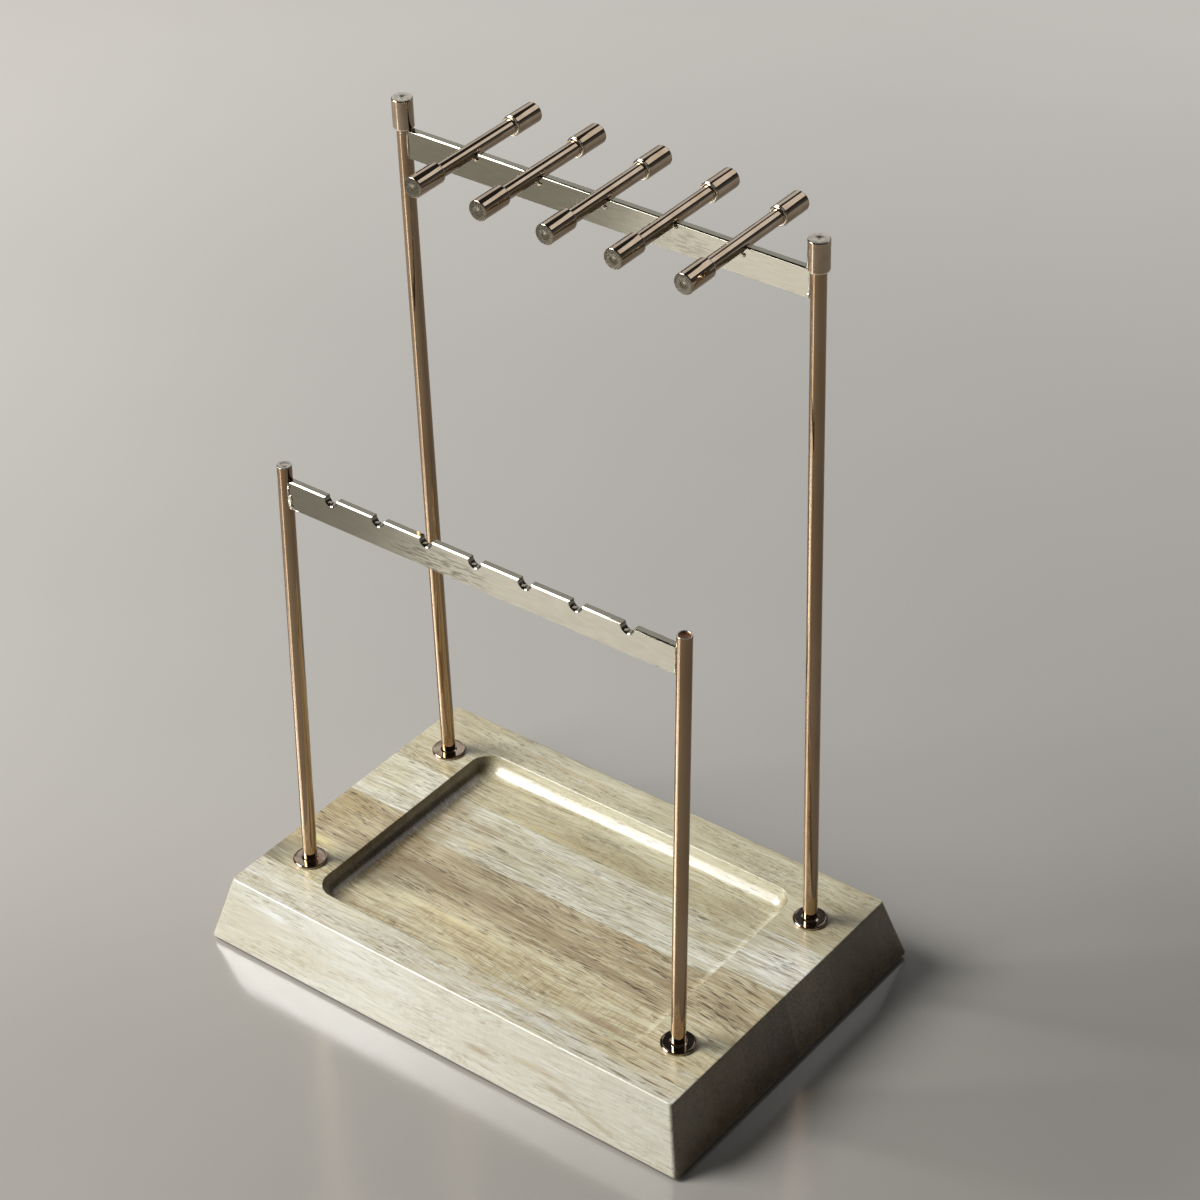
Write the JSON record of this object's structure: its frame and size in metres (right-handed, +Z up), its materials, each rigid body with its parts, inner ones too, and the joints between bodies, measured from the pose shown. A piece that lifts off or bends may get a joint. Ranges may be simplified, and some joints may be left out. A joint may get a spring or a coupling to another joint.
{
  "type": "jewellery stand",
  "caption": "Free-standing jewellery stand: sloping-sided wooden base with a shallow tray, a low notched necklace bar and a tall bar of capped cross rods on slim metal posts.",
  "frame": {"origin": "middle of the footprint, on the plane that the foot pads stand on", "axes": "+Z up; +X to the right along the bars; +Y to the rear, from the low notched frame to the tall rod frame"},
  "size_m": [0.1996, 0.1346, 0.288],
  "materials": {
    "wood_front": "satin lacquered hardwood stave",
    "wood_mid_front": "satin lacquered hardwood stave",
    "wood_middle": "satin lacquered hardwood stave",
    "wood_mid_rear": "satin lacquered hardwood stave",
    "wood_rear": "satin lacquered hardwood stave",
    "plated_metal": "mirror-polished champagne-rose plating over steel",
    "screw_steel": "zinc-plated",
    "rubber_pad": "matt"
  },
  "bodies": {
    "root": {"stave_front": "wood_front", "stave_mid_front": "wood_mid_front", "stave_middle": "wood_middle", "stave_mid_rear": "wood_mid_rear", "stave_rear": "wood_rear", "foot_pad_front_left": "rubber_pad", "foot_pad_front_right": "rubber_pad", "foot_pad_rear_left": "rubber_pad", "foot_pad_rear_right": "rubber_pad", "post_front_left": "plated_metal", "flange_front_left": "plated_metal", "screw_front_left": "screw_steel", "post_front_right": "plated_metal", "flange_front_right": "plated_metal", "screw_front_right": "screw_steel", "post_rear_left": "plated_metal", "flange_rear_left": "plated_metal", "screw_rear_left": "screw_steel", "post_rear_right": "plated_metal", "flange_rear_right": "plated_metal", "screw_rear_right": "screw_steel", "notched_bar": "plated_metal", "rod_bar": "plated_metal", "cross_rod_1": "plated_metal", "rod_front_cap_1": "plated_metal", "rod_rear_cap_1": "plated_metal", "cross_rod_2": "plated_metal", "rod_front_cap_2": "plated_metal", "rod_rear_cap_2": "plated_metal", "cross_rod_3": "plated_metal", "rod_front_cap_3": "plated_metal", "rod_rear_cap_3": "plated_metal", "cross_rod_4": "plated_metal", "rod_front_cap_4": "plated_metal", "rod_rear_cap_4": "plated_metal", "cross_rod_5": "plated_metal", "rod_front_cap_5": "plated_metal", "rod_rear_cap_5": "plated_metal", "post_cap_left": "plated_metal", "post_cap_right": "plated_metal"}
  },
  "joints": []
}
